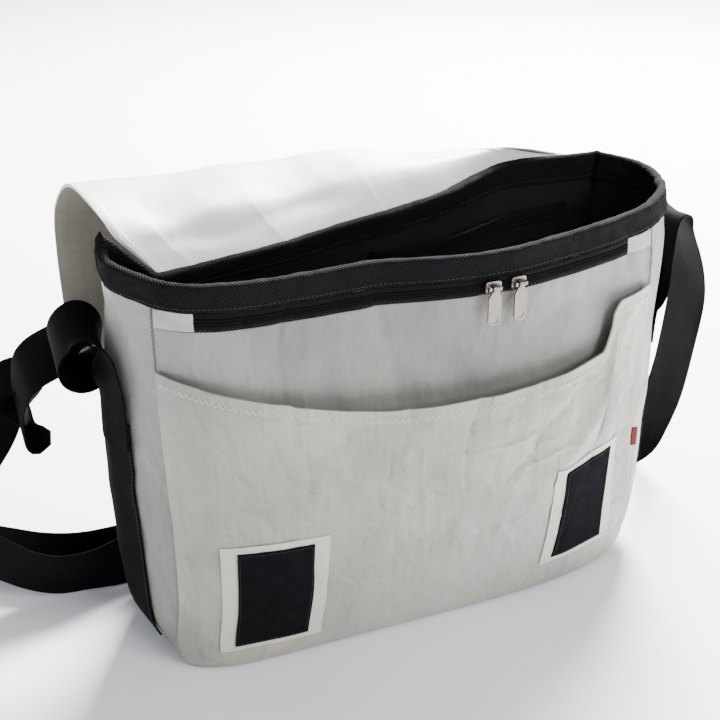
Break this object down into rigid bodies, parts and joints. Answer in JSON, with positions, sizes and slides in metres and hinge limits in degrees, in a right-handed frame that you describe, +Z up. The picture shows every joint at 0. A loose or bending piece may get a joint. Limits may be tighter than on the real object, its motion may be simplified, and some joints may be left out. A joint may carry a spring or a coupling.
{
  "type": "laptop messenger bag",
  "caption": "Soft messenger bag for a laptop, its flap folded back: zipped front with pull tabs, slip pocket, fastener patches, bound rim, lining pocket and webbing shoulder belt.",
  "frame": {"origin": "middle of the bag's footprint, on the surface it stands on", "axes": "+X to the right along the bag's width as its front is seen, +Y from the front pocket towards the back panel, +Z up"},
  "size_m": [0.6511, 0.2405, 0.3454],
  "materials": {
    "sailcloth_grey": "light grey laminated sailcloth with a fine thread grid, softly creased",
    "pocket_sailcloth": "thin cream sailcloth, slightly see-through, with a fine grid, creases and a zigzag hem",
    "flap_coated": "white coated twill inner face, grid sailcloth outer face",
    "reinforcement_cloth": "second layer of pale sailcloth, stitched round its edge",
    "zip_end_cloth": "folded pale sailcloth tab",
    "lining_black": "black woven lining",
    "binding_black": "black woven binding tape, stitched",
    "zip_black": "black woven zip tape and coil",
    "webbing_black": "dense black seat-belt webbing with a fine rib",
    "hook_fastener": "black hook-and-loop tape, matt pile",
    "nickel": "polished cast nickel",
    "plastic_black": "black moulded plastic",
    "tag_red": "plain red woven tape"
  },
  "bodies": {
    "bag": {"front_panel": "sailcloth_grey", "gusset_right": "sailcloth_grey", "back_panel": "sailcloth_grey", "gusset_left": "sailcloth_grey", "bottom_panel": "sailcloth_grey", "lining": "lining_black", "rim_binding": "binding_black", "zip_tape_upper": "zip_black", "zip_coil": "zip_black", "zip_tape_lower": "zip_black", "zip_end_left": "zip_end_cloth", "zip_end_right": "zip_end_cloth", "slider_left": "nickel", "slider_right": "nickel", "front_pocket": "pocket_sailcloth", "reinforcement_left": "reinforcement_cloth", "reinforcement_right": "reinforcement_cloth", "fastener_patch_left": "hook_fastener", "fastener_patch_right": "hook_fastener", "inner_pocket": "lining_black", "inner_pocket_binding": "binding_black", "flap": "flap_coated", "side_band_left": "webbing_black", "side_band_right": "webbing_black", "shoulder_belt_right": "webbing_black", "shoulder_belt_left": "webbing_black", "belt_buckle": "plastic_black", "side_tag": "tag_red"},
    "pull_left": {"pull_tab_left": "nickel"},
    "pull_right": {"pull_tab_right": "nickel"}
  },
  "joints": [
    {"name": "pull_left_swing", "type": "hinge", "parent": "bag", "child": "pull_left", "pos_m": [0.04166, -0.09286, 0.28602], "axis": [-0.9998, 0.0187, 0], "range_deg": [0, 160]},
    {"name": "pull_right_swing", "type": "hinge", "parent": "bag", "child": "pull_right", "pos_m": [0.06236, -0.09158, 0.28624], "axis": [-0.9954, -0.0961, 0], "range_deg": [0, 160]}
  ]
}
